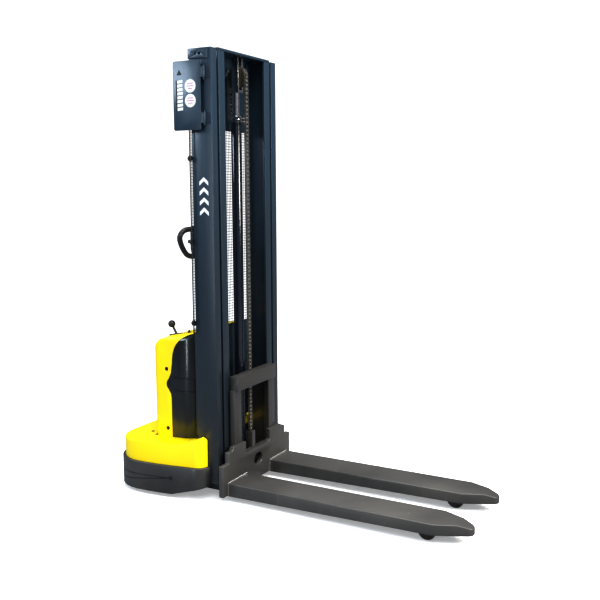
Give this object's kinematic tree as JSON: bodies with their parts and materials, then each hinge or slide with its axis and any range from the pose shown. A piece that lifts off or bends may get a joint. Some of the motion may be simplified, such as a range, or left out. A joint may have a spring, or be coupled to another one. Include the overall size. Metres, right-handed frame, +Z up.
{
  "type": "walkie stacker",
  "caption": "Pedestrian lift truck with a two-stage mast, carriage and twin forks over straddle legs, a yellow pillar and base, and a tilting steering tiller.",
  "frame": {"origin": "on the floor, at the middle of the truck's length and width", "axes": "+X towards the fork tips, +Y to the operator's left, +Z up"},
  "size_m": [1.775, 0.77, 2.071],
  "materials": {
    "yellow_cover": "satin gloss moulded cover",
    "mast_paint": "blue-black powder coat",
    "carriage_paint": "dark grey powder coat",
    "gloss_black": "glossy black moulding",
    "charcoal": "satin charcoal moulding",
    "frame_black": "black paint",
    "tiller_black": "fine-grained black moulding",
    "bright_steel": "turned and plated steel",
    "chain_steel": "oiled leaf chain",
    "zinc": "yellow zinc plate",
    "tyre": "solid rubber",
    "polyurethane": "cast polyurethane",
    "red_button": "red moulding",
    "battery_case": "battery case",
    "hydraulic_steel": "grey paint"
  },
  "bodies": {
    "chassis": {"outer_channel_left": "mast_paint", "outer_channel_right": "mast_paint", "outer_foot_plate": "mast_paint", "outer_rear_plate": "mast_paint", "outer_top_cross": "mast_paint", "cylinder_tube": "frame_black", "cylinder_gland": "bright_steel", "mesh_guard": "frame_black", "sign_bracket": "mast_paint", "straddle_leg_left": "mast_paint", "straddle_leg_right": "mast_paint", "bumper_skirt": "charcoal", "lower_cover": "yellow_cover", "chassis_frame": "frame_black", "pillar_cover": "yellow_cover", "pillar_front_cover": "gloss_black", "battery_pack": "battery_case", "hydraulic_unit": "hydraulic_steel", "lift_chain_rear": "chain_steel"},
    "inner_mast": {"inner_channel_left": "mast_paint", "inner_channel_right": "mast_paint", "inner_top_cross": "mast_paint", "inner_bottom_cross": "mast_paint", "piston_rod": "bright_steel", "lift_chain_front": "chain_steel"},
    "pulley": {"chain_pulley": "zinc"},
    "carriage": {"carriage_plate": "carriage_paint", "carriage_frame": "carriage_paint", "fork_left": "carriage_paint", "fork_right": "carriage_paint"},
    "sign": {"sign_plate": "mast_paint"},
    "steering_unit": {"drive_yoke": "frame_black", "drive_motor": "frame_black", "steering_column": "frame_black"},
    "drive_wheel": {"drive_hub": "bright_steel", "drive_tyre": "tyre"},
    "tiller": {"tiller_arm": "frame_black", "tiller_head": "tiller_black", "tiller_grip_left": "tiller_black", "tiller_grip_right": "tiller_black", "tiller_pin": "bright_steel"},
    "throttle": {"throttle": "tiller_black"},
    "belly_button": {"belly_button": "red_button"},
    "lever": {"lift_lever": "bright_steel", "lever_knob": "tiller_black"},
    "key": {"key_switch": "tiller_black"},
    "caster_left": {"caster_fork_left": "bright_steel"},
    "caster_wheel_left": {"caster_wheel_left": "polyurethane"},
    "load_roller_left": {"load_roller_left": "polyurethane"},
    "outer_roller_left": {"outer_roller_left": "bright_steel"},
    "inner_roller_left": {"inner_roller_left": "bright_steel"},
    "carriage_roller_lower_left": {"carriage_roller_lower_left": "bright_steel"},
    "carriage_roller_upper_left": {"carriage_roller_upper_left": "bright_steel"},
    "caster_right": {"caster_fork_right": "bright_steel"},
    "caster_wheel_right": {"caster_wheel_right": "polyurethane"},
    "load_roller_right": {"load_roller_right": "polyurethane"},
    "outer_roller_right": {"outer_roller_right": "bright_steel"},
    "inner_roller_right": {"inner_roller_right": "bright_steel"},
    "carriage_roller_lower_right": {"carriage_roller_lower_right": "bright_steel"},
    "carriage_roller_upper_right": {"carriage_roller_upper_right": "bright_steel"}
  },
  "joints": [
    {"name": "mast_lift", "type": "slide", "parent": "chassis", "child": "inner_mast", "axis": [0, 0, 1], "range_m": [0, 1.48], "deforming": ["lift_chain_rear"]},
    {"name": "carriage_lift", "type": "slide", "parent": "inner_mast", "child": "carriage", "axis": [0, 0, 1], "range_m": [0, 1.48], "deforming": ["lift_chain_front"]},
    {"name": "pulley_spin", "type": "hinge", "parent": "inner_mast", "child": "pulley", "pos_m": [-0.3535, 0, 1.965], "axis": [0, -1, 0], "range_deg": [0, 1890]},
    {"name": "sign_swing", "type": "hinge", "parent": "chassis", "child": "sign", "pos_m": [-0.3445, -0.29, 1.86], "axis": [0, 0, 1], "range_deg": [0, 90]},
    {"name": "steering", "type": "hinge", "parent": "chassis", "child": "steering_unit", "pos_m": [-0.5725, 0, 0.27], "axis": [0, 0, 1], "range_deg": [-45, 45]},
    {"name": "drive_wheel_spin", "type": "hinge", "parent": "steering_unit", "child": "drive_wheel", "pos_m": [-0.5725, 0, 0.115], "axis": [0, 1, 0], "continuous": true},
    {"name": "tiller_tilt", "type": "hinge", "parent": "steering_unit", "child": "tiller", "pos_m": [-0.5725, 0, 0.838], "axis": [0, -1, 0], "range_deg": [0, 75], "stiffness_Nm_per_rad": 12, "springref_deg": -20.05},
    {"name": "throttle_turn", "type": "hinge", "parent": "tiller", "child": "throttle", "pos_m": [-0.5805, 0, 1.195], "axis": [0, 1, 0], "range_deg": [-35, 35], "stiffness_Nm_per_rad": 0.4},
    {"name": "belly_press", "type": "slide", "parent": "tiller", "child": "belly_button", "axis": [0, 0, -1], "range_m": [0, 0.008], "stiffness_N_per_m": 600, "springref_m": -0.004},
    {"name": "lever_tilt", "type": "hinge", "parent": "chassis", "child": "lever", "pos_m": [-0.6155, -0.167, 0.742], "axis": [0, 1, 0], "range_deg": [-18, 18], "stiffness_Nm_per_rad": 2},
    {"name": "key_turn", "type": "hinge", "parent": "chassis", "child": "key", "pos_m": [-0.5345, -0.18, 0.76], "axis": [0, 0, 1], "range_deg": [0, 90]},
    {"name": "caster_swivel_left", "type": "hinge", "parent": "chassis", "child": "caster_left", "pos_m": [-0.5245, 0.285, 0.12], "axis": [0, 0, 1], "continuous": true},
    {"name": "caster_spin_left", "type": "hinge", "parent": "caster_left", "child": "caster_wheel_left", "pos_m": [-0.5485, 0.285, 0.045], "axis": [0, 1, 0], "continuous": true},
    {"name": "load_roller_spin_left", "type": "hinge", "parent": "chassis", "child": "load_roller_left", "pos_m": [0.6975, 0.192, 0.039], "axis": [0, 1, 0], "continuous": true},
    {"name": "outer_roller_spin_left", "type": "hinge", "parent": "chassis", "child": "outer_roller_left", "pos_m": [-0.367, 0.212, 2.0117], "axis": [0, 1, 0], "continuous": true},
    {"name": "inner_roller_spin_left", "type": "hinge", "parent": "inner_mast", "child": "inner_roller_left", "pos_m": [-0.367, 0.255, 0.149], "axis": [0, 1, 0], "continuous": true},
    {"name": "carriage_roller_lower_spin_left", "type": "hinge", "parent": "carriage", "child": "carriage_roller_lower_left", "pos_m": [-0.367, 0.181, 0.163], "axis": [0, 1, 0], "continuous": true},
    {"name": "carriage_roller_upper_spin_left", "type": "hinge", "parent": "carriage", "child": "carriage_roller_upper_left", "pos_m": [-0.367, 0.181, 0.465], "axis": [0, 1, 0], "continuous": true},
    {"name": "caster_swivel_right", "type": "hinge", "parent": "chassis", "child": "caster_right", "pos_m": [-0.5245, -0.285, 0.12], "axis": [0, 0, 1], "continuous": true},
    {"name": "caster_spin_right", "type": "hinge", "parent": "caster_right", "child": "caster_wheel_right", "pos_m": [-0.5485, -0.285, 0.045], "axis": [0, 1, 0], "continuous": true},
    {"name": "load_roller_spin_right", "type": "hinge", "parent": "chassis", "child": "load_roller_right", "pos_m": [0.6975, -0.192, 0.039], "axis": [0, 1, 0], "continuous": true},
    {"name": "outer_roller_spin_right", "type": "hinge", "parent": "chassis", "child": "outer_roller_right", "pos_m": [-0.367, -0.212, 2.0117], "axis": [0, 1, 0], "continuous": true},
    {"name": "inner_roller_spin_right", "type": "hinge", "parent": "inner_mast", "child": "inner_roller_right", "pos_m": [-0.367, -0.255, 0.149], "axis": [0, 1, 0], "continuous": true},
    {"name": "carriage_roller_lower_spin_right", "type": "hinge", "parent": "carriage", "child": "carriage_roller_lower_right", "pos_m": [-0.367, -0.181, 0.163], "axis": [0, 1, 0], "continuous": true},
    {"name": "carriage_roller_upper_spin_right", "type": "hinge", "parent": "carriage", "child": "carriage_roller_upper_right", "pos_m": [-0.367, -0.181, 0.465], "axis": [0, 1, 0], "continuous": true}
  ],
  "couplings": [
    {"joint": "carriage_lift", "follows": "mast_lift", "ratio": 1},
    {"joint": "pulley_spin", "follows": "mast_lift", "rad_per_m": 22.222}
  ]
}
